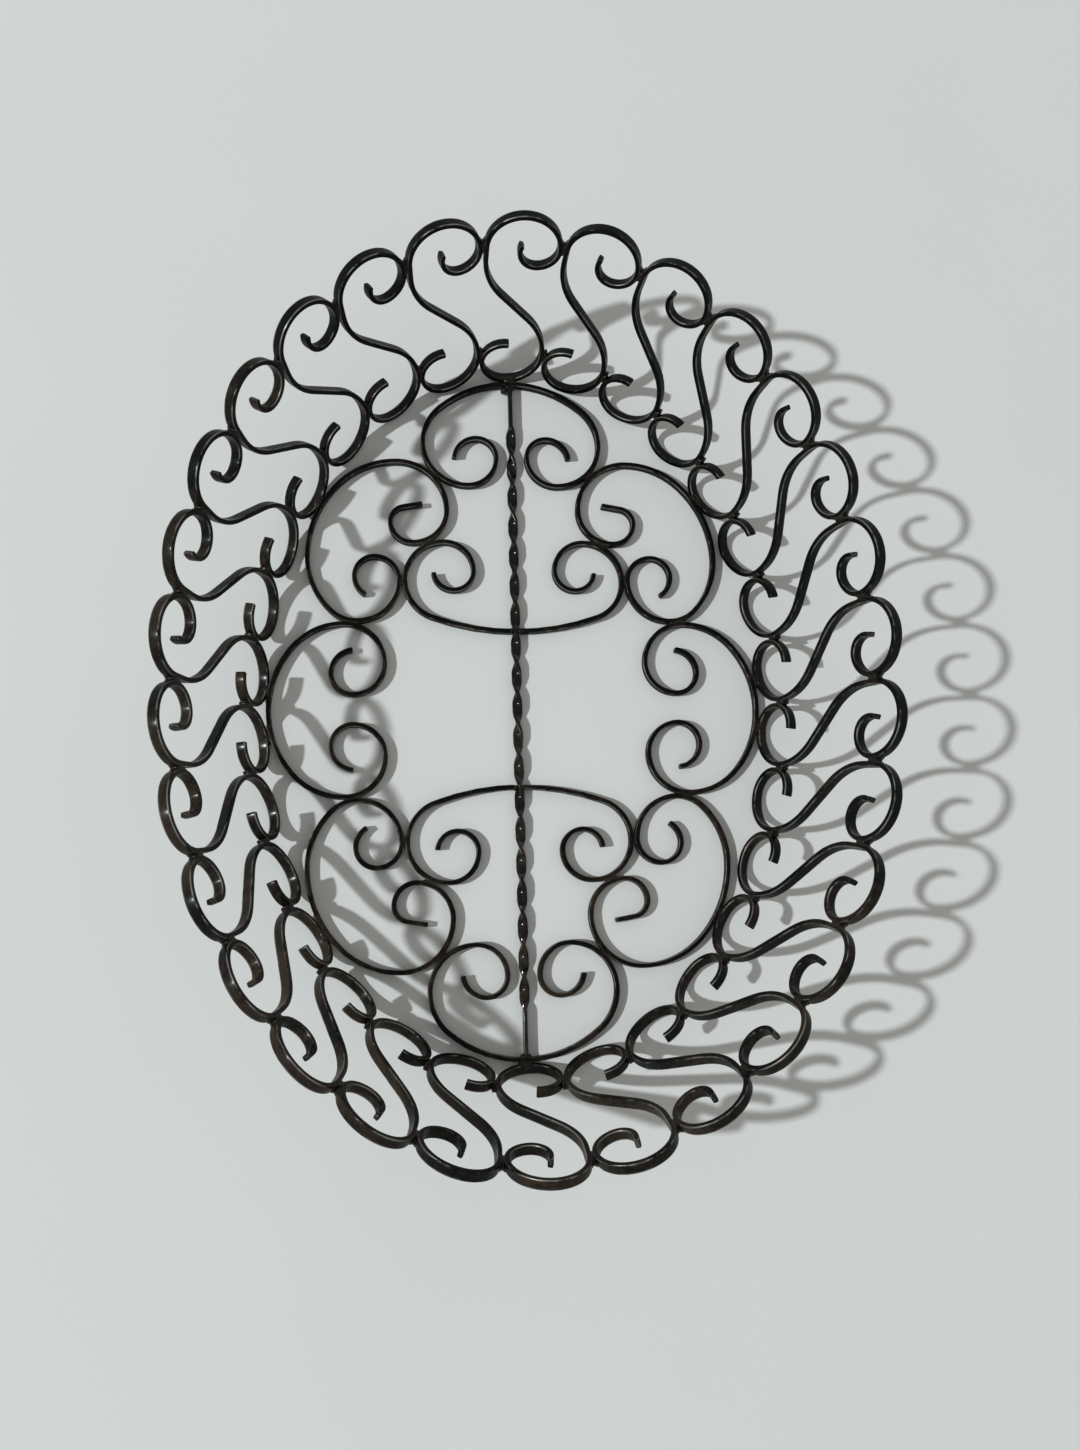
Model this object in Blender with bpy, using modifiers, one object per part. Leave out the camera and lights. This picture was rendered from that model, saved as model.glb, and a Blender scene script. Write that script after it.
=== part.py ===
"""Oval openwork basket of flat iron bar bent on edge, built piece by piece.

The wall is a sloping oval ring of identical S scrolls. The base is a flat rosette of C scrolls
that lies inside the foot of the wall, with a twisted bar along its middle.
X is the short way, +Y the far end, +Z up, and the basket rests on the plane Z = 0. Units: metres.
"""
import math

import bmesh
import bpy
import numpy as np
from mathutils import Matrix, Vector

# Flat bar that every piece is bent from
STRIP_WIDTH = 0.004
STRIP_THICKNESS = 0.002

# Clearances
WELD_GAP = 0.0003
TABLE_GAP = 0.0002
BAR_END_GAP = 0.0005

# Angles in degrees
RIGHT_ANGLE = 90
EIGHTH_TURN = 45
ARC_STEP = 20

# Wall ring: the foot line and the rim line pass through the places where neighbours meet
SCROLL_COUNT = 30
FOOT_HALF_WIDTH = 0.1071
FOOT_HALF_LENGTH = 0.1483
WALL_SLOPE = 68
WALL_SLANT = 0.0517
OVAL_SAMPLES = 3601

# S scroll of the wall: the shoulder and waist radii are shares of the slant
RIM_RISE = 0.001
RIM_TOP_SHARE = 0.505
SHOULDER_SHARE = 0.476
WAIST_SHARE = 0.499
LEAN = 44.5
FOOT_BOTTOM_SHARE = 0.6
FOOT_CURL_RADIUS = 0.0093
FOOT_CURL_TURN = 97
RIM_CURL_RADIUS = 0.0085
RIM_TIP_RADIUS = 0.0067
RIM_TIP_TURN = 115

# Base scrolls start inside their free space, at these shares of the foot oval and of full size
START_SHARE = 0.8
START_SIZE_SHARE = 0.6
CORNER_X_SHARE = 0.56
CORNER_Y_SHARE = 0.47
INNER_ARCH_SHARE = 0.21

# End scrolls of the base, arch outwards
END_ARCH_RADIUS = 0.0459
END_ARCH_TURN = 40
END_SHOULDER_RADIUS = 0.0203
END_SIDE_RADIUS = 0.0182
END_CURL_RADIUS = 0.0122
END_INNER_RADIUS = 0.0082
END_TIP_RADIUS = 0.0093
END_TIP_TURN = 85

# Side scrolls of the base, arch outwards
SIDE_ARCH_RADIUS = 0.0396
SIDE_ARCH_TURN = 40
SIDE_SHOULDER_RADIUS = 0.0267
SIDE_LOOP_RADIUS = 0.0162
SIDE_CURL_RADIUS = 0.0127
SIDE_INNER_RADIUS = 0.0087
SIDE_TIP_RADIUS = 0.0095
SIDE_TIP_TURN = 85

# Corner scrolls of the base: both curls from the point of the arch nearest the side of the basket
CORNER_ARCH_RADIUS = 0.04395
CORNER_CROWN_RADIUS = 0.033
CORNER_SHOULDER_RADIUS = 0.0204
CORNER_END_CURL_RADIUS = 0.0142
CORNER_END_INNER_RADIUS = 0.0089
CORNER_END_TIP_RADIUS = 0.0063
CORNER_END_TIP_TURN = 80
CORNER_END_TIP_LENGTH = 0.008
CORNER_HIP_RADIUS = 0.0315
CORNER_LOOP_RADIUS = 0.015
CORNER_SIDE_CURL_RADIUS = 0.017
CORNER_SIDE_INNER_RADIUS = 0.0098
CORNER_SIDE_TIP_RADIUS = 0.0082
CORNER_SIDE_END_RADIUS = 0.0088
CORNER_SIDE_END_TURN = 60

# Inner half scrolls of the base, arch towards the middle, cut off beside the twisted bar
INNER_ARCH_RADIUS = 0.1
INNER_ARCH_TURN = 20
INNER_SHOULDER_RADIUS = 0.0167
INNER_SIDE_RADIUS = 0.0162
INNER_CURL_RADIUS = 0.0121
INNER_TIP_RADIUS = 0.0084
INNER_END_RADIUS = 0.0081
INNER_END_TURN = 85

# Twisted bar along the middle of the base
HALF_TURNS = 19
HALF_TURN_LENGTH = 0.0126
TWIST_STEPS_PER_HALF_TURN = 6

# Solving for touching places
RING_ROUNDS = 12
SETTLE_ROUNDS = 45
SETTLE_STEP_SHARE = 0.5
NUDGE = 0.000001

# Blackened iron: colour, roughness and metallic of the wall and of the browner base
WALL_COLOUR = (0.017, 0.016, 0.015, 1)
BASE_COLOUR = (0.024, 0.019, 0.015, 1)
IRON_ROUGHNESS = 0.42
IRON_METALLIC = 0.75


def bend(start, heading, legs):
    """Points along a chain of tangent legs: (radius, turn) for an arc, (length, 0) for a straight."""
    points = [np.array(start)]
    for size, turn in legs:
        if turn == 0:
            course = math.radians(heading)
            points.append(points[-1] + size * np.array((math.cos(course), math.sin(course))))
            continue
        steps = max(1, round(abs(turn) / ARC_STEP))
        hand = math.copysign(1, turn)
        away = math.radians(heading - hand * RIGHT_ANGLE)
        centre = points[-1] - size * np.array((math.cos(away), math.sin(away)))
        for step in range(1, steps + 1):
            angle = away + math.radians(turn) * step / steps
            points.append(centre + size * np.array((math.cos(angle), math.sin(angle))))
        heading += turn
    return np.array(points)


def offsets(line, distance):
    """The two lines that run beside a flat line at a distance, with mitred corners."""
    step = np.diff(line, axis=0)
    step /= np.linalg.norm(step, axis=1)[:, None]
    before = np.vstack((step[:1], step))
    after = np.vstack((step, step[-1:]))
    side = before + after
    side = np.column_stack((-side[:, 1], side[:, 0]))
    square = np.column_stack((-after[:, 1], after[:, 0]))
    side *= distance / np.sum(side * square, axis=1)[:, None]
    return line + side, line - side


def one_way_gap(points, line):
    """Least distance from a set of points to the segments of a line."""
    start = line[:-1]
    run = line[1:] - start
    along = np.einsum("pik,ik->pi", points[:, None] - start, run) / np.sum(run * run, axis=1)
    nearest = start + np.clip(along, 0, 1)[:, :, None] * run
    return np.min(np.linalg.norm(points[:, None] - nearest, axis=2))


def least_gap(one, other):
    """Least distance between two lines of straight segments that don't cross."""
    return min(one_way_gap(one, other), one_way_gap(other, one))


def settle(line, start, free, contacts):
    """Moves and sizes a flat line until its least gap to every contact is the wanted one.

    start holds the X and Y of the line's origin and its size; free lists which of them may change,
    one for each contact (part of the line, obstacles, gap). The line starts clear of everything
    and comes up to its contacts by steps of a share of the way, so it never crosses them.
    """
    fit = np.array(start)

    def misfit(trial):
        placed = line * trial[2] + trial[:2]
        return np.array([min(least_gap(placed[part], obstacle) for obstacle in obstacles) - gap
                         for part, obstacles, gap in contacts])

    for _ in range(SETTLE_ROUNDS):
        error = misfit(fit)
        nudges = NUDGE * np.eye(len(fit))[free]
        slopes = np.column_stack([(misfit(fit + nudge) - error) / NUDGE for nudge in nudges])
        fit[free] -= SETTLE_STEP_SHARE * np.linalg.solve(slopes, error)
    return line * fit[2] + fit[:2]


def stations(half_width, half_length):
    """Equally spaced points round an oval, clockwise, starting half a step before the far end."""
    sweep = np.linspace(0, 2 * math.pi, OVAL_SAMPLES)
    oval = np.column_stack((half_width * np.sin(sweep), half_length * np.cos(sweep)))
    run = np.concatenate(([0], np.cumsum(np.linalg.norm(np.diff(oval, axis=0), axis=1))))
    marks = (np.arange(SCROLL_COUNT) - 1 / 2) / SCROLL_COUNT % 1 * run[-1]
    return np.column_stack([np.interp(marks, run, oval[:, axis]) for axis in (0, 1)])


def wall_frames(foot, rim):
    """Matrices of the wall scrolls: X along the ring, Y from foot to rim, Z across the bar.

    A scroll may lean a little within the ring, so that neighbours meet at the foot and the rim.
    """
    frames = []
    rise = WALL_SLANT * math.sin(math.radians(WALL_SLOPE))
    for index in range(SCROLL_COUNT):
        following = (index + 1) % SCROLL_COUNT
        low = Vector((*(foot[index] + foot[following]) / 2, 0))
        high = Vector((*(rim[index] + rim[following]) / 2, rise))
        along = Vector((*(foot[following] - foot[index] + rim[following] - rim[index]), 0)).normalized()
        slope = (high - low).normalized()
        along = (along - along.dot(slope) * slope).normalized()
        frame = Matrix((along, slope, along.cross(slope))).transposed().to_4x4()
        frame.translation = low
        frames.append(frame)
    return frames


def wall_outline(rim_width, foot_width):
    """Centre line of one wall scroll from the tip of its rim curl to the end of its foot curl."""
    lean = math.radians(LEAN)
    top_right = RIM_TOP_SHARE * rim_width
    top_left = rim_width - top_right
    foot_right = FOOT_BOTTOM_SHARE * foot_width
    shoulder = SHOULDER_SHARE * WALL_SLANT
    waist = WAIST_SHARE * WALL_SLANT
    bends = shoulder + waist
    crossing = (rim_width + foot_width) / 2 - bends * (1 - math.cos(lean))
    diagonal = crossing / math.sin(lean)
    height = WALL_SLANT + RIM_RISE + top_right - top_left
    side = height - bends * math.sin(lean) - diagonal * math.cos(lean)
    start = (rim_width / 2, WALL_SLANT + RIM_RISE)
    body = bend(start, RIGHT_ANGLE, (
        (top_right, RIGHT_ANGLE),
        (top_left, RIGHT_ANGLE),
        (side, 0),
        (shoulder, LEAN),
        (diagonal, 0),
        (waist, -LEAN),
        (foot_right, -RIGHT_ANGLE),
        (foot_width - foot_right, -RIGHT_ANGLE),
        (FOOT_CURL_RADIUS, -FOOT_CURL_TURN)))
    curl = bend(start, -RIGHT_ANGLE, (
        (RIM_CURL_RADIUS, -RIGHT_ANGLE),
        (RIM_TIP_RADIUS, -RIM_TIP_TURN)))
    return np.vstack((curl[:0:-1], body))


def ribbon_corners(line, frame):
    """The four long edges of a bar bent along a flat line, in the basket's frame."""
    edges = []
    turn = np.array(frame.to_3x3())
    for beside in offsets(line, STRIP_THICKNESS / 2):
        for level in (-STRIP_WIDTH / 2, STRIP_WIDTH / 2):
            flat = np.column_stack((beside, np.full(len(beside), level)))
            edges.append(flat @ turn.T + np.array(frame.translation))
    return edges


def ring_gap(line, frames, chosen):
    """Least gap between neighbours round the ring over the chosen points of the outline."""
    least = math.inf
    for index in range(SCROLL_COUNT // 2):
        one = ribbon_corners(line, frames[index])
        other = ribbon_corners(line, frames[index + 1])
        for first in one:
            for second in other:
                least = min(least, least_gap(first[chosen], second[chosen]))
    return least


def solve_wall():
    """Outline and frames of the wall scrolls, sized so that the tightest neighbours keep the gap."""
    reach = WALL_SLANT * math.cos(math.radians(WALL_SLOPE))
    foot = stations(FOOT_HALF_WIDTH, FOOT_HALF_LENGTH)
    rim = stations(FOOT_HALF_WIDTH + reach, FOOT_HALF_LENGTH + reach)
    frames = wall_frames(foot, rim)
    rim_width = np.linalg.norm(np.diff(rim, axis=0), axis=1).min() - STRIP_THICKNESS - WELD_GAP
    foot_width = np.linalg.norm(np.diff(foot, axis=0), axis=1).min() - STRIP_THICKNESS - WELD_GAP
    for _ in range(RING_ROUNDS):
        line = wall_outline(rim_width, foot_width)
        upper = line[:, 1] > WALL_SLANT / 2
        rim_width += ring_gap(line, frames, upper) - WELD_GAP
        foot_width += ring_gap(line, frames, ~upper) - WELD_GAP
    lowest = min(edge[:, 2].min() for frame in frames for edge in ribbon_corners(line, frame))
    for frame in frames:
        frame.translation += Vector((0, 0, TABLE_GAP - lowest))
    return line, frames


def symmetric_scroll(heading, legs, flip):
    """A C scroll from its half outline, which starts at the origin, in the middle of the arch."""
    half = bend((0, 0), heading, legs)
    return np.vstack(((half * np.array(flip))[:0:-1], half))


def base_outlines(wall_edges):
    """Settled centre lines of the base scrolls: far end, right side, far right corner and inner half."""
    end_scroll = symmetric_scroll(0, (
        (END_ARCH_RADIUS, -END_ARCH_TURN),
        (END_SHOULDER_RADIUS, END_ARCH_TURN - RIGHT_ANGLE),
        (END_SIDE_RADIUS, -RIGHT_ANGLE),
        (END_CURL_RADIUS, -RIGHT_ANGLE),
        (END_INNER_RADIUS, -RIGHT_ANGLE),
        (END_TIP_RADIUS, -END_TIP_TURN)), (-1, 1))
    side_scroll = symmetric_scroll(RIGHT_ANGLE, (
        (SIDE_ARCH_RADIUS, SIDE_ARCH_TURN),
        (SIDE_SHOULDER_RADIUS, RIGHT_ANGLE - SIDE_ARCH_TURN),
        (SIDE_LOOP_RADIUS, RIGHT_ANGLE),
        (SIDE_CURL_RADIUS, RIGHT_ANGLE),
        (SIDE_INNER_RADIUS, RIGHT_ANGLE),
        (SIDE_TIP_RADIUS, SIDE_TIP_TURN)), (1, -1))
    end_curl = bend((0, 0), RIGHT_ANGLE, (
        (CORNER_ARCH_RADIUS, EIGHTH_TURN),
        (CORNER_CROWN_RADIUS, EIGHTH_TURN),
        (CORNER_SHOULDER_RADIUS, RIGHT_ANGLE),
        (CORNER_END_CURL_RADIUS, RIGHT_ANGLE),
        (CORNER_END_INNER_RADIUS, RIGHT_ANGLE),
        (CORNER_END_TIP_RADIUS, CORNER_END_TIP_TURN),
        (CORNER_END_TIP_LENGTH, 0)))
    side_curl = bend((0, 0), -RIGHT_ANGLE, (
        (CORNER_HIP_RADIUS, -EIGHTH_TURN),
        (CORNER_LOOP_RADIUS, -EIGHTH_TURN),
        (CORNER_SIDE_CURL_RADIUS, -RIGHT_ANGLE),
        (CORNER_SIDE_INNER_RADIUS, -RIGHT_ANGLE),
        (CORNER_SIDE_TIP_RADIUS, -RIGHT_ANGLE),
        (CORNER_SIDE_END_RADIUS, -CORNER_SIDE_END_TURN)))
    inner = bend((0, 0), 0, (
        (INNER_ARCH_RADIUS, INNER_ARCH_TURN),
        (INNER_SHOULDER_RADIUS, RIGHT_ANGLE - INNER_ARCH_TURN),
        (INNER_SIDE_RADIUS, RIGHT_ANGLE),
        (INNER_CURL_RADIUS, RIGHT_ANGLE),
        (INNER_TIP_RADIUS, RIGHT_ANGLE),
        (INNER_END_RADIUS, INNER_END_TURN)))
    ring = [edge[:, :2] for edge in wall_edges]
    edge_gap = STRIP_THICKNESS / 2 + WELD_GAP
    strip_gap = STRIP_THICKNESS + WELD_GAP
    whole = slice(None)
    end_start = (0, START_SHARE * FOOT_HALF_LENGTH, 1)
    end_scroll = settle(end_scroll, end_start, [1], [(whole, ring, edge_gap)])
    side_start = (START_SHARE * FOOT_HALF_WIDTH, 0, 1)
    side_scroll = settle(side_scroll, side_start, [0], [(whole, ring, edge_gap)])
    corner = np.vstack((end_curl[:0:-1], side_curl))
    corner -= corner.mean(axis=0)
    corner_start = (CORNER_X_SHARE * FOOT_HALF_WIDTH, CORNER_Y_SHARE * FOOT_HALF_LENGTH, START_SIZE_SHARE)
    corner = settle(corner, corner_start, [0, 1, 2], [
        (whole, ring, edge_gap),
        (whole, [end_scroll], strip_gap),
        (whole, [side_scroll], strip_gap)])
    inner_start = (0, INNER_ARCH_SHARE * FOOT_HALF_LENGTH, START_SIZE_SHARE)
    inner = settle(inner, inner_start, [1, 2], [
        (whole, [corner[:len(end_curl)]], strip_gap),
        (whole, [corner[len(end_curl):]], strip_gap)])
    return end_scroll, side_scroll, corner, beside_bar(inner)


def bar_turn(along):
    """Left-hand turn of the twisted bar's section at a distance from the middle, where it lies flat."""
    limit = HALF_TURNS * HALF_TURN_LENGTH / 2
    return -math.pi * min(max(along, -limit), limit) / HALF_TURN_LENGTH


def beside_bar(line):
    """Cuts the start of a line off where it would come closer to the twisted bar than the gap."""
    run = line[1] - line[0]
    slant = run[1] / np.linalg.norm(run)
    half = STRIP_THICKNESS / 2
    reach = 0
    for level in (line[0, 1] - half, line[0, 1], line[0, 1] + half):
        turn = bar_turn(level)
        across = abs(STRIP_WIDTH * math.cos(turn)) + abs(STRIP_THICKNESS * math.sin(turn))
        reach = max(reach, across / 2)
    cut = reach + WELD_GAP + half * slant
    height = np.interp(cut, line[:2, 0], line[:2, 1])
    return np.vstack(((cut, height), line[1:]))


def iron(name, colour):
    """A Principled material for one piece."""
    material = bpy.data.materials.new(name)
    material.use_nodes = True
    shader = material.node_tree.nodes["Principled BSDF"]
    shader.inputs["Base Color"].default_value = colour
    shader.inputs["Roughness"].default_value = IRON_ROUGHNESS
    shader.inputs["Metallic"].default_value = IRON_METALLIC
    return material


def ribbon(name, line):
    """A flat curve along a centre line, extruded to the width of the bar."""
    curve = bpy.data.curves.new(name, "CURVE")
    curve.dimensions = "2D"
    curve.fill_mode = "NONE"
    curve.extrude = STRIP_WIDTH / 2
    spline = curve.splines.new("POLY")
    spline.points.add(len(line) - 1)
    for point, place in zip(spline.points, line):
        point.co = (*place, 0, 1)
    return curve


def add_piece(name, data, colour, frame):
    """Adds one named piece that may share its data with its copies."""
    piece = bpy.data.objects.new(name, data)
    piece.location = frame.translation
    piece.rotation_euler = frame.to_euler()
    collection.objects.link(piece)
    if not data.materials:
        data.materials.append(None)
    piece.material_slots[0].link = "OBJECT"
    piece.material_slots[0].material = iron(name, colour)
    return piece


def add_strip(name, data, colour, frame):
    """Adds one piece of bent bar: its ribbon thickened evenly to both sides."""
    piece = add_piece(name, data, colour, frame)
    solidify = piece.modifiers.new("Thickness", "SOLIDIFY")
    solidify.thickness = STRIP_THICKNESS
    solidify.offset = 0
    solidify.use_even_offset = True


def twisted_bar_mesh(half_length):
    """A box cut into slices, each turned about the long axis."""
    body = bmesh.new()
    bmesh.ops.create_cube(body, size=1)
    size = Vector((STRIP_WIDTH, 2 * half_length, STRIP_THICKNESS))
    bmesh.ops.scale(body, vec=size, verts=body.verts)
    steps = HALF_TURNS * TWIST_STEPS_PER_HALF_TURN
    for step in range(steps + 1):
        along = (step - steps / 2) * HALF_TURN_LENGTH / TWIST_STEPS_PER_HALF_TURN
        geometry = body.verts[:] + body.edges[:] + body.faces[:]
        bmesh.ops.bisect_plane(body, geom=geometry, plane_co=(0, along, 0), plane_no=(0, 1, 0))
    for vertex in body.verts:
        vertex.co = Matrix.Rotation(bar_turn(vertex.co.y), 3, "Y") @ vertex.co
    mesh = bpy.data.meshes.new("twisted_bar")
    body.to_mesh(mesh)
    body.free()
    return mesh


for stale in list(bpy.data.objects):
    bpy.data.objects.remove(stale, do_unlink=True)
collection = bpy.data.collections.new("wrought_iron_basket")
bpy.context.scene.collection.children.link(collection)

wall_line, wall_places = solve_wall()
wall_ribbon = ribbon("wall_scroll", wall_line)
for number, place in enumerate(wall_places, 1):
    add_strip(f"wall_scroll_{number:02d}", wall_ribbon, WALL_COLOUR, place)

all_edges = [edge for place in wall_places for edge in ribbon_corners(wall_line, place)]
end_line, side_line, corner_line, inner_line = base_outlines(all_edges)
mirror = np.array((-1, 1))
ribbons = {
    "end": ribbon("end_scroll", end_line),
    "side": ribbon("side_scroll", side_line),
    "corner": ribbon("corner_scroll", corner_line),
    "corner_mirrored": ribbon("corner_scroll_mirrored", corner_line * mirror),
    "inner": ribbon("inner_scroll", inner_line),
    "inner_mirrored": ribbon("inner_scroll_mirrored", inner_line * mirror)}
base_level = Matrix.Translation((0, 0, STRIP_WIDTH / 2))
half_turned = base_level @ Matrix.Rotation(math.pi, 4, "Z")
for name, kind, place in (
        ("far_end_scroll", "end", base_level),
        ("near_end_scroll", "end", half_turned),
        ("right_side_scroll", "side", base_level),
        ("left_side_scroll", "side", half_turned),
        ("far_right_corner_scroll", "corner", base_level),
        ("far_left_corner_scroll", "corner_mirrored", base_level),
        ("near_left_corner_scroll", "corner", half_turned),
        ("near_right_corner_scroll", "corner_mirrored", half_turned),
        ("far_right_inner_scroll", "inner", base_level),
        ("far_left_inner_scroll", "inner_mirrored", base_level),
        ("near_left_inner_scroll", "inner", half_turned),
        ("near_right_inner_scroll", "inner_mirrored", half_turned)):
    add_strip(name, ribbons[kind], BASE_COLOUR, place)

bar_half_length = end_line[:, 1].max() - STRIP_THICKNESS / 2 - BAR_END_GAP
bar_level = math.hypot(STRIP_WIDTH, STRIP_THICKNESS) / 2 + TABLE_GAP
add_piece("twisted_bar", twisted_bar_mesh(bar_half_length), BASE_COLOUR,
          Matrix.Translation((0, 0, bar_level)))
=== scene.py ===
import math

import bpy
import numpy as np
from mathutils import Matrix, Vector


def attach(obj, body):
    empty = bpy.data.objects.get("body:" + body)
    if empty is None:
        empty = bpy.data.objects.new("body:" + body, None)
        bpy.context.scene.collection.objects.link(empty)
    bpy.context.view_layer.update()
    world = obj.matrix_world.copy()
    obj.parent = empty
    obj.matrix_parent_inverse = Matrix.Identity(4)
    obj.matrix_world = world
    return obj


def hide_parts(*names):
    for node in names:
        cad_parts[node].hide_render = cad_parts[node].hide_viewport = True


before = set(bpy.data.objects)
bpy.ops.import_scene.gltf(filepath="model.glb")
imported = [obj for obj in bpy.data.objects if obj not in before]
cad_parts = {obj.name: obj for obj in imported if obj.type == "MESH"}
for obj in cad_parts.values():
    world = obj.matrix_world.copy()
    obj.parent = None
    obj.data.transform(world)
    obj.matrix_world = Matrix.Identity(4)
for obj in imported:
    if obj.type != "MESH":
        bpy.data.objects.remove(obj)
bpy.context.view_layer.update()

# Wall of S scrolls
# The wall is thirty equal scrolls bent on edge from flat black iron bar, 4 mm wide and 2 mm thick.
# Each one starts in a curl inside the rim, runs over the rim loop and down through an S, and ends
# in a short curl at the foot. They stand in a sloping oval ring and are welded to each other.
BAR_WIDTH = 0.004
BAR_THICKNESS = 0.002
BAR_SIDES = 32
BAR_SQUARENESS = 7
BAR_END_CHAMFER = 0.00022
CORNER_START = 0.72
CORNER_FADE = 0.1
WELD_TINT_REACH = 0.0045
BEND_STEP = 5
STRAIGHT_STEP = 0.0015
FEWEST_STEPS = 2


def bend(start, heading, legs):
    """Smooth centre line of a bar bent through tangent legs: its points and its headings in radians.

    A leg (radius, turn) follows centre + radius * (cos a, sin a) while a goes through the turn from
    the heading less a quarter turn, or plus one for a right turn. A leg (length, 0) runs straight.
    Turns and the first heading are in degrees, and a left turn is positive.
    """
    points, headings = [np.array([start])], [np.radians([heading])]
    for size, turn in legs:
        last = points[-1][-1]
        if turn == 0:
            count = max(FEWEST_STEPS, round(size / STRAIGHT_STEP))
            way = math.radians(heading)
            run = np.linspace(0, size, count + 1)[1:, None]
            points.append(last + run * np.array([math.cos(way), math.sin(way)]))
            headings.append(np.full(count, way))
            continue
        count = max(FEWEST_STEPS, round(abs(turn) / BEND_STEP))
        outward = math.radians(heading) - math.copysign(math.pi / 2, turn)
        centre = last - size * np.array([math.cos(outward), math.sin(outward)])
        angle = outward + math.radians(turn) * np.arange(1, count + 1) / count
        points.append(centre + size * np.column_stack((np.cos(angle), np.sin(angle))))
        headings.append(angle + math.copysign(math.pi / 2, turn))
        heading += turn
    return np.vstack(points), np.concatenate(headings)


def joined(one, other):
    """Two lines that leave the same point in opposite ways, made one that runs from tip to tip."""
    points = np.vstack((one[0][:0:-1], other[0]))
    return points, np.concatenate((one[1][:0:-1] + math.pi, other[1]))


def rolled_section():
    """Outline of the rolled bar, (across, level), and how near each of its points is to a corner.

    It is the superellipse |x / half thickness|^n + |y / half width|^n = 1, which has slightly crowned
    faces and rounded corners: x = half thickness * cos(t)^(2 / n), y = half width * sin(t)^(2 / n).
    The corner share rises with the product of both shares of the half sizes.
    """
    turn = np.linspace(0, 2 * math.pi, BAR_SIDES, endpoint=False)
    round_off = 2 / BAR_SQUARENESS
    wide = np.sign(np.sin(turn)) * np.abs(np.sin(turn)) ** round_off
    thick = np.sign(np.cos(turn)) * np.abs(np.cos(turn)) ** round_off
    corner = np.clip((np.abs(wide * thick) - CORNER_START) / CORNER_FADE, 0, 1)
    return np.column_stack((thick * BAR_THICKNESS, wide * BAR_WIDTH)) / 2, corner


def ring_faces(count, sides):
    """Faces of a closed tube: quads from ring to ring, and a fan of triangles over both ends.

    Point k of ring j has the number j * sides + k. The middle of the first ring and that of the last
    come after all rings.
    """
    ring = np.arange(sides)
    after = np.roll(ring, -1)
    base = np.arange(count - 1)[:, None] * sides
    quads = np.stack((base + ring, base + after, base + after + sides, base + ring + sides), axis=2)
    far = (count - 1) * sides
    near_fan = np.column_stack((after, ring, np.full(sides, count * sides)))
    far_fan = np.column_stack((far + ring, far + after, np.full(sides, count * sides + 1)))
    return quads.reshape(-1, 4), np.vstack((near_fan, far_fan))


def closed_sweep(name, stations, extra):
    """A closed tube through rings of points (station, corner, xyz), smooth between its flat ends.

    extra holds vertex data (station, corner, any) by attribute name; each end point takes the mean
    of its ring.
    """
    count, sides = stations.shape[:2]
    quads, fans = ring_faces(count, sides)
    points = np.vstack((stations.reshape(-1, 3), stations[[0, -1]].mean(axis=1)))
    mesh = bpy.data.meshes.new(name)
    mesh.from_pydata(points.tolist(), [], quads.tolist() + fans.tolist())
    for key, values in extra.items():
        values = values.reshape(count, sides, -1)
        data = np.vstack((values.reshape(count * sides, -1), values[[0, -1]].mean(axis=1)))
        kind = "FLOAT_VECTOR" if data.shape[1] == 3 else "FLOAT"
        layer = mesh.attributes.new(key, kind, "POINT")
        layer.data.foreach_set("vector" if kind == "FLOAT_VECTOR" else "value", data.ravel())
    mesh.polygons.foreach_set("use_smooth", np.arange(len(mesh.polygons)) < len(quads))
    return mesh


def end_shrink(count):
    """Shares of the thickness and of the width at each ring: less at both ends, for a small chamfer."""
    share = np.ones((2, count, 1))
    share[:, [0, -1], 0] = 1 - 2 * BAR_END_CHAMFER / np.array([[BAR_THICKNESS], [BAR_WIDTH]])
    return share


def bar_mesh(name, line, place, welds):
    """A rounded flat bar swept along a flat line and set in the basket by a 4 by 4 matrix.

    Each ring is the line's point + across * (-sin h, cos h) + level * Z for its heading h. bar_place
    holds the distance along the bar, the level and the distance across it; edge is 1 on the rounded
    corners; near_weld falls from 1 at a weld by exp(-(distance / reach) squared). A matrix that
    mirrors turns each ring round, so that the faces still point out.
    """
    points, headings = line
    ways = np.column_stack((np.cos(headings), np.sin(headings)))
    points = np.vstack((points[:1], points[:1] + BAR_END_CHAMFER * ways[:1], points[1:-1],
                        points[-1:] - BAR_END_CHAMFER * ways[-1:], points[-1:]))
    ways = np.vstack((ways[:1], ways, ways[-1:]))
    sides = np.column_stack((-ways[:, 1], ways[:, 0]))
    run = np.concatenate(([0], np.cumsum(np.linalg.norm(np.diff(points, axis=0), axis=1))))
    section, corner = rolled_section()
    across, level = section.T[:, None] * end_shrink(len(run))
    flat = points[:, None] + across[:, :, None] * sides[:, None]
    local = np.concatenate((flat, level[:, :, None]), axis=2)
    placed = local @ place[:3, :3].T + place[:3, 3]
    along = np.broadcast_to(run[:, None], across.shape)
    edge = np.broadcast_to(corner, across.shape)
    gap = np.linalg.norm(placed[:, :, None] - np.asarray(welds), axis=3).min(axis=2)
    if np.linalg.det(place[:3, :3]) < 0:
        placed, along, across = placed[:, ::-1], along[:, ::-1], across[:, ::-1]
        level, edge, gap = level[:, ::-1], edge[:, ::-1], gap[:, ::-1]
    return closed_sweep(name, placed, {
        "bar_place": np.stack((along, level, across), axis=2),
        "edge": edge,
        "near_weld": np.exp(-(gap / WELD_TINT_REACH) ** 2)})


def add_piece(name, mesh, material, slot, *nodes):
    """Puts one piece of the basket in the scene with its material and hides its CAD nodes; slot is not used.
    """
    piece = bpy.data.objects.new(name, mesh)
    bpy.context.scene.collection.objects.link(piece)
    mesh.materials.append(material)
    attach(piece, "root")
    if nodes:
        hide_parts(*nodes)


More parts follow.
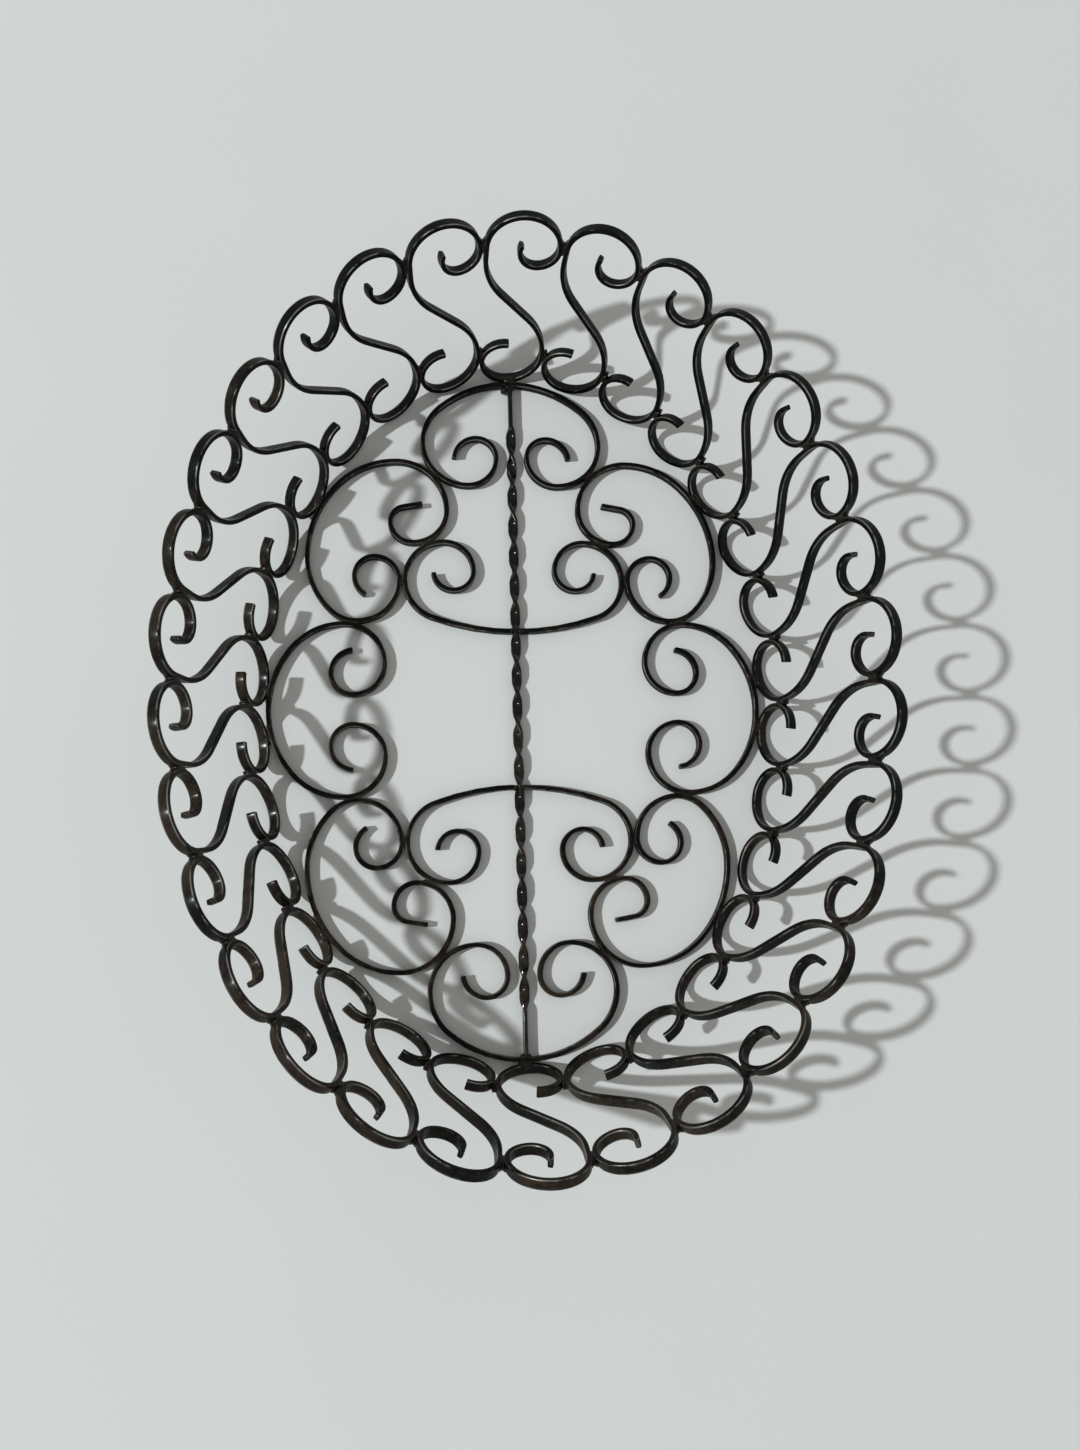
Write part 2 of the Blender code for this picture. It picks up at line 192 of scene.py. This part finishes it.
class Field:
    """What comes out of a node: an output socket that takes + - and *, with numbers on either side."""

    def __init__(self, shader, socket):
        self.shader = shader
        self.socket = socket

    def maths(self, operation, first, second):
        return self.shader.node("ShaderNodeMath", {"operation": operation}, {0: first, 1: second})

    def __add__(self, other):
        return self.maths("ADD", self, other)

    __radd__ = __add__

    def __sub__(self, other):
        return self.maths("SUBTRACT", self, other)

    def __rsub__(self, other):
        return self.maths("SUBTRACT", other, self)

    def __mul__(self, other):
        return self.maths("MULTIPLY", self, other)

    __rmul__ = __mul__


class Shader:
    """The nodes of one material, or of the surround."""

    def __init__(self, owner):
        owner.use_nodes = True
        self.owner = owner
        self.nodes = owner.node_tree.nodes
        self.links = owner.node_tree.links

    def fill(self, made, inputs):
        """Links fields to a node's sockets, and sets plain values on them."""
        for key, value in inputs.items():
            if isinstance(value, Field):
                self.links.new(value.socket, made.inputs[key])
            else:
                made.inputs[key].default_value = value

    def node(self, kind, settings, inputs, output=0):
        """Adds a node, sets it, fills its sockets, and gives back one of its outputs."""
        made = self.nodes.new(kind)
        for key, value in settings.items():
            setattr(made, key, value)
        self.fill(made, inputs)
        return Field(self, made.outputs[output])

    def finish(self, inputs):
        """Fills the sockets of the Principled shader and gives back the material."""
        self.fill(self.nodes["Principled BSDF"], inputs)
        return self.owner

    def noise(self, where, scale, detail=2, roughness=0.5):
        """Smooth noise from 0 to 1 with so many waves in a metre."""
        return self.node("ShaderNodeTexNoise", {"noise_dimensions": "3D"}, {
            "Vector": where, "Scale": scale, "Detail": detail, "Roughness": roughness}, "Fac")

    def ramp(self, value, low, high):
        """0 below low, 1 above high, and smooth between them."""
        return self.node("ShaderNodeMapRange", {"interpolation_type": "SMOOTHSTEP"}, {
            "Value": value, "From Min": low, "From Max": high})

    def blend(self, share, one, other):
        """A colour that goes from one to the other with the share."""
        return self.node("ShaderNodeMix", {"data_type": "RGBA"}, {0: share, 6: one, 7: other}, 2)

    def bump(self, height, strength, distance):
        """The normal tilted by a height field, where a height of 1 stands for the distance in metres."""
        return self.node("ShaderNodeBump", {}, {
            "Height": height, "Strength": strength, "Distance": distance}, "Normal")

    def attribute(self, name, output):
        """A vertex attribute of the mesh."""
        return self.node("ShaderNodeAttribute", {"attribute_name": name}, {}, output)

    def place(self):
        """The place in the basket, in metres."""
        return self.node("ShaderNodeTexCoord", {}, {}, "Object")


DRIFT_WAVES = 34
RUB_WAVES = 60
HAMMER_WAVES = 420
STREAK_WAVES = 1200
GRAIN_WAVES = 4200
STREAK_STRETCH = (0.25, 1, 1)
# Painted light: the slope that browns the near left, a warm sunlit tint on the lamp's side.
PAINTED_SUNLIGHT_SLOPE = (-0.35, -0.45, 0)
BROWN_START = 0.44
BROWN_FULL = 0.66
BURNT_START = 0.42
BURNT_FULL = 0.62
BURNT_STRENGTH = 0.4
BURNT_BROWN = (0.035, 0.02, 0.011, 1)
BARE_START = 0.48
BARE_FULL = 0.6
BARE_IRON = (0.25, 0.24, 0.225, 1)
IRON_RELIEF = 0.00016


def blackened_iron(name, black, brown, cover, wear, wax, wax_roughness):
    """Black waxed iron with brown patches, streaks along the bar, and corners rubbed bright.

    Black goes to brown where 0.3 hammer + 0.5 drift + 0.2 streaks + a slope is high. The slope is painted
    light: it rises to the near left, the side the lamp is on, and paints a warm sunlit tint there. Streaks
    near welds are burnt brown. Corners are bare metal on stretches where 0.6 rub + 0.4 streaks is high. More
    cover or wear lowers what counts as high. The height is 0.3 grain + 0.7 streaks + hammer, and hammer
    counts three times at a weld.
    """
    shader = Shader(bpy.data.materials.new(name))
    place = shader.place()
    bar = shader.attribute("bar_place", "Vector")
    edge = shader.attribute("edge", "Fac")
    heat = shader.attribute("near_weld", "Fac")
    stretched = shader.node("ShaderNodeVectorMath", {"operation": "MULTIPLY"}, {0: bar, 1: STREAK_STRETCH})
    # Painted light: browner towards the near left, a warm sunlit tint on the lamp's side.
    painted_sunlight = shader.node("ShaderNodeVectorMath", {"operation": "DOT_PRODUCT"},
                          {0: place, 1: PAINTED_SUNLIGHT_SLOPE}, "Value")
    drift = shader.noise(place, DRIFT_WAVES)
    rub = shader.noise(place, RUB_WAVES)
    hammer = shader.noise(place, HAMMER_WAVES, detail=4, roughness=0.62)
    streak = shader.noise(stretched, STREAK_WAVES, detail=3, roughness=0.6)
    grain = shader.noise(place, GRAIN_WAVES)
    patch = 0.3 * hammer + 0.5 * drift + 0.2 * streak + painted_sunlight
    browned_and_sunlit = shader.ramp(patch, BROWN_START - cover, BROWN_FULL - cover)
    burnt = heat * shader.ramp(streak, BURNT_START, BURNT_FULL)
    bare = edge * shader.ramp(0.6 * rub + 0.4 * streak, BARE_START - wear, BARE_FULL - wear)
    colour = shader.blend(browned_and_sunlit, black, brown)
    colour = shader.blend(BURNT_STRENGTH * burnt, colour, BURNT_BROWN)
    height = 0.3 * grain + 0.7 * streak + 2 * hammer * (0.5 + heat)
    return shader.finish({
        "Base Color": shader.blend(bare, colour, BARE_IRON),
        "Roughness": 0.32 + 0.22 * hammer + 0.14 * streak - 0.16 * edge,
        "Metallic": 0.05 + 0.85 * bare,
        "Specular IOR Level": 0.04,
        "Coat Weight": wax,
        "Coat Roughness": wax_roughness,
        "Normal": shader.bump(height, strength=0.6, distance=IRON_RELIEF)})


SCROLL_COUNT = 30
FOOT_HALF_WIDTH = 0.1071
FOOT_HALF_LENGTH = 0.1483
WALL_SLOPE = math.radians(68)
WALL_SLANT = 0.0517
WALL_LIFT = 0.015662
OVAL_SAMPLES = 3601


def oval_stations(half_width, half_length):
    """Equally spaced points round an oval, clockwise, from half a step before its far end.

    The oval (half_width * sin t, half_length * cos t) is measured finely and read off at equal runs.
    """
    sweep = np.linspace(0, 2 * math.pi, OVAL_SAMPLES)
    oval = np.column_stack((half_width * np.sin(sweep), half_length * np.cos(sweep)))
    run = np.concatenate(([0], np.cumsum(np.linalg.norm(np.diff(oval, axis=0), axis=1))))
    marks = (np.arange(SCROLL_COUNT) - 0.5) / SCROLL_COUNT % 1 * run[-1]
    return np.column_stack([np.interp(marks, run, oval[:, axis]) for axis in (0, 1)])


def unit(vectors):
    """Rows of unit length."""
    return vectors / np.linalg.norm(vectors, axis=1)[:, None]


def ring_places():
    """The 4 by 4 matrices of the wall scrolls: X along the ring, Y from foot to rim, Z across the bar.

    A scroll's origin is WALL_LIFT above the middle between two stations of the foot oval. Its Y is the
    way from that middle to the one between the same stations of the rim oval, and its X is the mean
    way along both ovals, made square to Y.
    """
    reach = WALL_SLANT * math.cos(WALL_SLOPE)
    foot = oval_stations(FOOT_HALF_WIDTH, FOOT_HALF_LENGTH)
    rim = oval_stations(FOOT_HALF_WIDTH + reach, FOOT_HALF_LENGTH + reach)
    next_foot, next_rim = np.roll(foot, -1, axis=0), np.roll(rim, -1, axis=0)
    low = np.column_stack(((foot + next_foot) / 2, np.zeros(SCROLL_COUNT)))
    rise = np.full(SCROLL_COUNT, WALL_SLANT * math.sin(WALL_SLOPE))
    high = np.column_stack(((rim + next_rim) / 2, rise))
    slope = unit(high - low)
    along = unit(np.column_stack((next_foot - foot + next_rim - rim, np.zeros(SCROLL_COUNT))))
    along = unit(along - np.sum(along * slope, axis=1)[:, None] * slope)
    places = np.zeros((SCROLL_COUNT, 4, 4))
    places[:, :3, 0] = along
    places[:, :3, 1] = slope
    places[:, :3, 2] = np.cross(along, slope)
    places[:, :3, 3] = low + np.array([0, 0, WALL_LIFT])
    places[:, 3, 3] = 1
    return places


RIM_LOOP_WIDTH = 0.027969
FOOT_LOOP_WIDTH = 0.024458
RIM_RISE = 0.001
RIM_CONTACT = WALL_SLANT + RIM_RISE
FOOT_LEFT_CONTACT = -0.0024
RIM_TOP_SHARE = 0.505
FOOT_BOTTOM_SHARE = 0.6
SHOULDER_RADIUS = 0.0246
WAIST_RADIUS = 0.0258
LEAN = 44.5
RIM_CURL_LEGS = ((0.0085, -90), (0.0067, -115))
FOOT_CURL_LEG = (0.0093, -97)


def wall_line():
    """Centre line of an S scroll: rim curl, rim loop, shoulder, lean, waist, foot loop, foot curl.

    The straight lean covers the sideways step that the shoulder and the waist leave, over sin(lean),
    and the straight side of the rim loop takes up the rest of the height.
    """
    lean = math.radians(LEAN)
    top_right = RIM_TOP_SHARE * RIM_LOOP_WIDTH
    top_left = RIM_LOOP_WIDTH - top_right
    foot_right = FOOT_BOTTOM_SHARE * FOOT_LOOP_WIDTH
    bends = SHOULDER_RADIUS + WAIST_RADIUS
    sideways = (RIM_LOOP_WIDTH + FOOT_LOOP_WIDTH) / 2 - bends * (1 - math.cos(lean))
    diagonal = sideways / math.sin(lean)
    side = RIM_CONTACT + top_right - top_left - bends * math.sin(lean) - diagonal * math.cos(lean)
    start = (RIM_LOOP_WIDTH / 2, RIM_CONTACT)
    body = bend(start, 90, (
        (top_right, 90), (top_left, 90), (side, 0), (SHOULDER_RADIUS, LEAN), (diagonal, 0),
        (WAIST_RADIUS, -LEAN), (foot_right, -90), (FOOT_LOOP_WIDTH - foot_right, -90), FOOT_CURL_LEG))
    return joined(bend(start, -90, RIM_CURL_LEGS), body)


def ring_contacts(places, width, right_level, left_level):
    """Where each scroll meets the next: the middle of its right side and the next one's left side."""
    half = (width + BAR_THICKNESS) / 2
    right = places @ np.array([half, right_level, 0, 1])
    left = np.roll(places, -1, axis=0) @ np.array([-half, left_level, 0, 1])
    return ((right + left) / 2)[:, :3]


wall_iron = blackened_iron(
    "wall_black_iron", black=(0.001, 0.0014, 0.0014, 1), brown=(0.027, 0.0195, 0.0125, 1),
    cover=-0.02, wear=0.035, wax=0.15, wax_roughness=0.17)
wall_places = ring_places()
wall_scroll_line = wall_line()
rim_contacts = ring_contacts(wall_places, RIM_LOOP_WIDTH, RIM_CONTACT, RIM_CONTACT)
foot_contacts = ring_contacts(wall_places, FOOT_LOOP_WIDTH, 0, FOOT_LEFT_CONTACT)
ring_welds = np.vstack((rim_contacts, foot_contacts))
for number, scroll_place in enumerate(wall_places, 1):
    scroll_name = f"wall_scroll_{number:02d}"
    scroll_mesh = bar_mesh(scroll_name + "_bar", wall_scroll_line, scroll_place, ring_welds)
    add_piece(scroll_name + "_bar", scroll_mesh, wall_iron, "wall_iron", scroll_name)

# Base of C scrolls
# The base is a flat rosette of the same bar standing on edge: a C scroll at each end and side, one
# in each corner, and four inner half scrolls that butt on the middle bar. They touch and are welded.
BASE_LEVEL = BAR_WIDTH / 2
END_APEX = (0, 0.138301)
END_LEGS = ((0.0459, -40), (0.0203, -50), (0.0182, -90), (0.0122, -90), (0.0082, -90), (0.0093, -85))
SIDE_APEX = (0.099091, 0)
SIDE_LEGS = ((0.0396, 40), (0.0267, 50), (0.0162, 90), (0.0127, 90), (0.0087, 90), (0.0095, 85))
CORNER_SIZE = 1.00055
CORNER_OUTER_POINT = (0.083916, 0.062965)
CORNER_SIDE_LEGS = (
    (0.04395, 45), (0.033, 45), (0.0204, 90), (0.0142, 90), (0.0089, 90), (0.0063, 80), (0.008, 0))
CORNER_INNER_LEGS = (
    (0.0315, -45), (0.015, -45), (0.017, -90), (0.0098, -90), (0.0082, -90), (0.0088, -60))
INNER_SIZE = 0.99061
INNER_APEX = (0, 0.031878)
INNER_START = 0.0021
INNER_LEGS = ((0.1, 20), (0.0167, 70), (0.0162, 90), (0.0121, 90), (0.0084, 90), (0.0081, 85))
SCROLL_REACH = 0.0029
WALL_REACH = 0.0039


def sized(legs, size):
    """The same legs with their radii and lengths multiplied by a size."""
    return [(length * size, turn) for length, turn in legs]


def mirrored_halves(start, heading, legs, flip):
    """A C scroll from the middle of its arch: the half that is bent and its mirror image."""
    half = bend(start, heading, legs)
    points = half[0] * np.array(flip)
    ways = np.arctan2(np.sin(half[1]) * flip[1], np.cos(half[1]) * flip[0])
    return joined((points, ways), half)


def from_bar(line):
    """The line from INNER_START outwards, where it butts on the middle bar. The cut is on its first step."""
    points, headings = line
    kept = points[:, 0] > INNER_START
    level = np.interp(INNER_START, points[:2, 0], points[:2, 1])
    points = np.vstack(((INNER_START, level), points[kept]))
    return points, np.concatenate((headings[kept][:1], headings[kept]))


def level_turn(turned, mirrored):
    """The matrix of a base scroll: half a turn about Z, a mirror image in X, both, or neither."""
    place = np.eye(4)
    sign = -1 if turned else 1
    place[0, 0] = -sign if mirrored else sign
    place[1, 1] = sign
    place[2, 3] = BASE_LEVEL
    return place


def placed_line(line, place):
    """The points of a flat line in the basket."""
    points = np.column_stack((line[0], np.zeros(len(line[0])), np.ones(len(line[0]))))
    return (points @ place.T)[:, :3]


def touching(lines, others, reach):
    """Pairs of nearest points: of each line, and of each other line that comes within reach of it."""
    pairs = []
    for line in lines:
        for other in others:
            gaps = np.linalg.norm(line[:, None] - other, axis=2)
            first, second = np.unravel_index(gaps.argmin(), gaps.shape)
            if 0 < gaps.min() < reach:
                pairs.append((line[first], other[second]))
    return np.array(pairs)


end_line = mirrored_halves(END_APEX, 0, END_LEGS, (-1, 1))
side_line = mirrored_halves(SIDE_APEX, 90, SIDE_LEGS, (1, -1))
corner_line = joined(bend(CORNER_OUTER_POINT, 90, sized(CORNER_SIDE_LEGS, CORNER_SIZE)),
                     bend(CORNER_OUTER_POINT, -90, sized(CORNER_INNER_LEGS, CORNER_SIZE)))
inner_line = from_bar(bend(INNER_APEX, 0, sized(INNER_LEGS, INNER_SIZE)))
base_scrolls = {
    "far_end_scroll": (end_line, level_turn(False, False)),
    "near_end_scroll": (end_line, level_turn(True, False)),
    "right_side_scroll": (side_line, level_turn(False, False)),
    "left_side_scroll": (side_line, level_turn(True, False)),
    "far_right_corner_scroll": (corner_line, level_turn(False, False)),
    "far_left_corner_scroll": (corner_line, level_turn(False, True)),
    "near_left_corner_scroll": (corner_line, level_turn(True, False)),
    "near_right_corner_scroll": (corner_line, level_turn(True, True)),
    "far_right_inner_scroll": (inner_line, level_turn(False, False)),
    "far_left_inner_scroll": (inner_line, level_turn(False, True)),
    "near_left_inner_scroll": (inner_line, level_turn(True, False)),
    "near_right_inner_scroll": (inner_line, level_turn(True, True))}
placed_base = {name: placed_line(*held) for name, held in base_scrolls.items()}
end_lines, side_lines, corner_lines, inner_lines = (
    [line for name, line in placed_base.items() if kind in name] for kind in
    ("_end_", "_side_", "_corner_", "_inner_"))
outer_point = np.abs(corner_line[0] - np.array(CORNER_OUTER_POINT)).sum(axis=1).argmin()
corner_curls = [curl for line in corner_lines for curl in (line[:outer_point], line[outer_point:])]
scroll_pairs = np.vstack((touching(corner_lines, end_lines + side_lines, SCROLL_REACH),
                          touching(inner_lines, corner_curls, SCROLL_REACH)))
wall_lines = [placed_line(wall_scroll_line, place) for place in wall_places]
wall_pairs = touching(placed_base.values(), wall_lines, WALL_REACH)
base_welds = np.vstack((scroll_pairs, wall_pairs)).mean(axis=1)
base_iron = blackened_iron(
    "base_black_iron", black=(0.0011, 0.0013, 0.0013, 1), brown=(0.026, 0.0185, 0.012, 1),
    cover=-0.03, wear=0.03, wax=0.06, wax_roughness=0.17)
for name, (line, place) in base_scrolls.items():
    scroll_mesh = bar_mesh(name + "_bar", line, place, base_welds)
    add_piece(name + "_bar", scroll_mesh, base_iron, "base_iron", name)

# Twisted bar
# One straight length of the bar lies along the middle of the base. It was twisted cold, left-handed,
# through nineteen half turns between plain ends, which stand on edge and are welded to the end scrolls.
TWIST_HALF_TURNS = 19
TWIST_LENGTH = 0.0126
TWIST_STEP = 0.0008
TWISTED_BAR_END = 0.136801
TWISTED_BAR_LEVEL = 0.002436
TWISTED_THINNING = 0.84


def twisted_bar_mesh():
    """The rolled section, drawn a little thinner, turned about the long axis as it runs along Y.

    The turn is -pi * y / half turn's length, left-handed, and stays the same on the plain ends. A point
    of the section is (wide * cos + thick * sin, thick * cos - wide * sin) of that turn.
    """
    count = round(2 * TWISTED_BAR_END / TWIST_STEP)
    along = np.linspace(-TWISTED_BAR_END, TWISTED_BAR_END, count)
    along = np.concatenate((along[:1], [along[0] + BAR_END_CHAMFER], along[1:-1],
                            [along[-1] - BAR_END_CHAMFER], along[-1:]))
    limit = TWIST_HALF_TURNS * TWIST_LENGTH / 2
    turn = -math.pi * np.clip(along, -limit, limit)[:, None] / TWIST_LENGTH
    section, corner = rolled_section()
    section = section * np.array([TWISTED_THINNING, 1])
    thick, wide = section.T[:, None] * end_shrink(len(along))
    x = wide * np.cos(turn) + thick * np.sin(turn)
    z = thick * np.cos(turn) - wide * np.sin(turn) + TWISTED_BAR_LEVEL
    y = np.broadcast_to(along[:, None], x.shape)
    return closed_sweep("twisted_bar_iron", np.stack((x, y, z), axis=2), {
        "bar_place": np.stack((y, wide, thick), axis=2),
        "edge": np.broadcast_to(corner, x.shape),
        "near_weld": np.exp(-((TWISTED_BAR_END - np.abs(y)) / WELD_TINT_REACH) ** 2)})


bar_iron = blackened_iron(
    "bar_black_iron", black=(0.0014, 0.0015, 0.0014, 1), brown=(0.026, 0.0185, 0.012, 1),
    cover=-0.02, wear=-0.06, wax=0.3, wax_roughness=0.1)
add_piece("twisted_bar_iron", twisted_bar_mesh(), bar_iron, "base_iron", "twisted_bar")

# Welds
# Wherever two pieces meet, a small bead of weld fills the narrow V on both sides of the contact, about
# as deep as the bar is wide. One more drop sits beside the far end of the twisted bar. The beads are
# lumpy, and black with burnt brown specks.
BEAD_SIDES = 32
BEAD_LAYERS = 9
BEAD_EDGE_ANGLE = 86
BEAD_EDGE_POWER = 0.3
RIM_BEAD = {"half_width": 0.0017, "waist": 0.0023, "flare": 0.0058, "half_depth": 0.00203}
FOOT_BEAD = {"half_width": 0.0015, "waist": 0.0022, "flare": 0.0026, "half_depth": 0.00203}
SCROLL_BEAD = {"half_width": 0.0016, "waist": 0.0023, "flare": 0.0048, "half_depth": 0.00193}
BASE_TO_WALL_BEAD = {"half_width": 0.0019, "waist": 0.003, "flare": 0.0004, "half_depth": 0.00193}
BAR_BEAD_LEVEL = 0.0021
BAR_END_BEAD = {"half_width": 0.0011, "waist": 0.0021, "flare": 0.0007, "half_depth": 0.0018}
BAR_END_BEAD_GAP = 0.0002
DROP_BEAD = {"half_width": 0.0013, "waist": 0.0013, "flare": 0, "half_depth": 0.0015}
DROP_PLACE = (-0.0026, TWISTED_BAR_END - 0.0012, 0.0024)
BUTT_BEAD = {"half_width": 0.0009, "waist": 0.0012, "flare": 0.0004, "half_depth": 0.0017}
BUTT_X = 0.0017
BUTT_Y = 0.0322
LUMP_WAVES = 650
SPECK_WAVES = 1500
SPECK_START = 0.5
SPECK_FULL = 0.68
WELD_BLACK = (0.005, 0.0047, 0.0043, 1)
WELD_BROWN = (0.03, 0.019, 0.012, 1)
WELD_RELIEF = 0.0005


def bead_points(middles, across, up, half_width, waist, flare, half_depth):
    """Closed beads at many contacts: hourglass outlines stacked through the width of the bar.

    An outline is x = half_width * cos t, y = (waist + flare * cos^2 t) * sin t; the layers at
    half_depth * sin v shrink by cos v to a small power, so the faces are flat with round edges.
    """
    turn = np.linspace(0, 2 * math.pi, BEAD_SIDES, endpoint=False)
    layer = np.radians(np.linspace(-BEAD_EDGE_ANGLE, BEAD_EDGE_ANGLE, BEAD_LAYERS))[:, None]
    shrink = np.cos(layer) ** BEAD_EDGE_POWER
    flat_x = half_width * np.cos(turn) * shrink
    flat_y = (waist + flare * np.cos(turn) ** 2) * np.sin(turn) * shrink
    depth = half_depth * np.sin(layer) * np.ones(BEAD_SIDES)
    through = np.cross(across, up)
    parts = zip((flat_x, flat_y, depth), (across, up, through))
    return middles[:, None, None] + sum(part[None, :, :, None] * way[:, None, None]
                                        for part, way in parts)


def beads_mesh(name, points):
    """One smooth mesh of many closed beads, from points (bead, layer, corner, xyz)."""
    beads, layers, sides = points.shape[:3]
    quads, fans = ring_faces(layers, sides)
    vertices = np.concatenate((points.reshape(beads, -1, 3), points[:, [0, -1]].mean(axis=2)), axis=1)
    starts = np.arange(beads)[:, None, None] * vertices.shape[1]
    faces = (starts + quads).reshape(-1, 4).tolist() + (starts + fans).reshape(-1, 3).tolist()
    mesh = bpy.data.meshes.new(name)
    mesh.from_pydata(vertices.reshape(-1, 3).tolist(), [], faces)
    mesh.polygons.foreach_set("use_smooth", np.ones(len(mesh.polygons), dtype=bool))
    return mesh


def weld_iron():
    """Weld metal under the black: dark with burnt brown specks, lumpy and a little glossy."""
    shader = Shader(bpy.data.materials.new("weld_iron"))
    place = shader.place()
    lump = shader.noise(place, LUMP_WAVES, detail=3)
    speck = shader.noise(place, SPECK_WAVES, detail=4, roughness=0.6)
    return shader.finish({
        "Base Color": shader.blend(shader.ramp(speck, SPECK_START, SPECK_FULL), WELD_BLACK, WELD_BROWN),
        "Roughness": 0.3 + 0.2 * speck,
        "Metallic": 0.12,
        "Specular IOR Level": 0.15,
        "Coat Weight": 0.14,
        "Coat Roughness": 0.14,
        "Normal": shader.bump(lump + 0.4 * speck, strength=0.7, distance=WELD_RELIEF)})


def ring_axes(places):
    """Across and up directions at the contacts between each wall scroll and the next."""
    axes = places[:, :3, :2] + np.roll(places, -1, axis=0)[:, :3, :2]
    across = unit(axes[:, :, 0])
    return across, unit(axes[:, :, 1] - np.sum(axes[:, :, 1] * across, axis=1)[:, None] * across)


def level_beads(pairs, sizes):
    """Beads between pairs of points of the base: across the gap, halfway, and level with the base."""
    level = np.array([1, 1, 0])
    way = unit((pairs[:, 1] - pairs[:, 0]) * level)
    middle = pairs.mean(axis=1) * level + np.array([0, 0, BASE_LEVEL])
    return bead_points(middle, way, np.cross(np.array([0, 0, 1]), way), **sizes)


weld_metal = weld_iron()
ring_across, ring_up = ring_axes(wall_places)
rim_beads = bead_points(rim_contacts, ring_across, ring_up, **RIM_BEAD)
add_piece("rim_welds", beads_mesh("rim_welds", rim_beads), weld_metal, "wall_iron")
foot_beads = bead_points(foot_contacts, ring_across, ring_up, **FOOT_BEAD)
add_piece("foot_welds", beads_mesh("foot_welds", foot_beads), weld_metal, "wall_iron")
along_x, along_y = np.array([[1, 0, 0]]), np.array([[0, 1, 0]])
bar_end_y = TWISTED_BAR_END + BAR_END_BEAD_GAP
bar_ends = np.array([[0, side * bar_end_y, BAR_BEAD_LEVEL] for side in (-1, 1)])
butts = np.array([[x * BUTT_X, y * BUTT_Y, BAR_BEAD_LEVEL] for x in (-1, 1) for y in (-1, 1)])
base_beads = np.concatenate((
    level_beads(scroll_pairs, SCROLL_BEAD),
    level_beads(wall_pairs, BASE_TO_WALL_BEAD),
    bead_points(bar_ends, np.vstack((along_y, -along_y)), np.vstack((-along_x, along_x)), **BAR_END_BEAD),
    bead_points(np.array([DROP_PLACE]), along_x, along_y, **DROP_BEAD),
    bead_points(butts, np.repeat(along_x, 4, axis=0), np.repeat(along_y, 4, axis=0), **BUTT_BEAD)))
add_piece("base_welds", beads_mesh("base_welds", base_beads), weld_metal, "base_iron")

# Floor, light and camera
# The basket stands on a painted pale grey floor, under one soft lamp high on the left and an even
# surround, which the camera and glossy surfaces see as plain grey. The camera looks down from nearly
# straight above. None of this belongs to the basket.
FLOOR_HALF = 3
FLOOR_LEVEL = -0.0002
FLOOR_WAVES = 6
FLOOR_GREY = (0.66, 0.69, 0.69, 1)
FLOOR_PALE_GREY = (0.7, 0.72, 0.72, 1)
SURROUND_LIGHT = (1, 0.97, 0.92, 1)
SURROUND_STRENGTH = 0.4
SURROUND_GREY = (0.61, 0.64, 0.63, 1)
LAMP_PLACE = (-7, -0.6, 7)
LAMP_DIAMETER = 0.3
LAMP_WATTS = 720
LAMP_COLOUR = (0.96, 1, 1)
CAMERA_LENS = 33.211
CAMERA_NEAR_LIMIT = 0.01
CAMERA_PLACE = (-0.05668, -0.09305, 0.5326)
CAMERA_TURN = (9.363, -6.811, -1.556)

floor_mesh = bpy.data.meshes.new("pale_floor")
floor_corners = [(x * FLOOR_HALF, y * FLOOR_HALF, FLOOR_LEVEL)
                 for x, y in ((-1, -1), (1, -1), (1, 1), (-1, 1))]
floor_mesh.from_pydata(floor_corners, [], [(0, 1, 2, 3)])
pale_floor = bpy.data.objects.new("pale_floor", floor_mesh)
bpy.context.scene.collection.objects.link(pale_floor)
floor_shader = Shader(bpy.data.materials.new("floor_paint"))
floor_cloud = floor_shader.noise(floor_shader.place(), FLOOR_WAVES)
floor_mesh.materials.append(floor_shader.finish({
    "Base Color": floor_shader.blend(floor_cloud, FLOOR_GREY, FLOOR_PALE_GREY),
    "Roughness": 0.8}))

surround = Shader(bpy.data.worlds.new("pale_surround"))
light_node = surround.nodes["Background"]
surround.fill(light_node, {"Color": SURROUND_LIGHT, "Strength": SURROUND_STRENGTH})
plain_grey = surround.node("ShaderNodeBackground", {}, {"Color": SURROUND_GREY})
camera_ray = surround.node("ShaderNodeLightPath", {}, {}, "Is Camera Ray")
glossy_ray = surround.node("ShaderNodeLightPath", {}, {}, "Is Glossy Ray")
seen = surround.node("ShaderNodeMath", {"operation": "MAXIMUM"}, {0: camera_ray, 1: glossy_ray})
choice = surround.node("ShaderNodeMixShader", {}, {
    0: seen, 1: Field(surround, light_node.outputs[0]), 2: plain_grey})
surround.fill(surround.nodes["World Output"], {"Surface": choice})
bpy.context.scene.world = surround.owner

lamp_light = bpy.data.lights.new("left_lamp", "AREA")
lamp_light.shape = "DISK"
lamp_light.size = LAMP_DIAMETER
lamp_light.energy = LAMP_WATTS
lamp_light.color = LAMP_COLOUR
lamp = bpy.data.objects.new("left_lamp", lamp_light)
lamp.location = LAMP_PLACE
lamp.rotation_euler = (-Vector(LAMP_PLACE)).to_track_quat("-Z", "Y").to_euler()
bpy.context.scene.collection.objects.link(lamp)

camera_lens = bpy.data.cameras.new("photo_camera")
camera_lens.lens = CAMERA_LENS
camera_lens.clip_start = CAMERA_NEAR_LIMIT
camera = bpy.data.objects.new("photo_camera", camera_lens)
camera.location = CAMERA_PLACE
camera.rotation_euler = [math.radians(angle) for angle in CAMERA_TURN]
bpy.context.scene.collection.objects.link(camera)
bpy.context.scene.camera = camera
bpy.context.scene.view_settings.view_transform = "Standard"
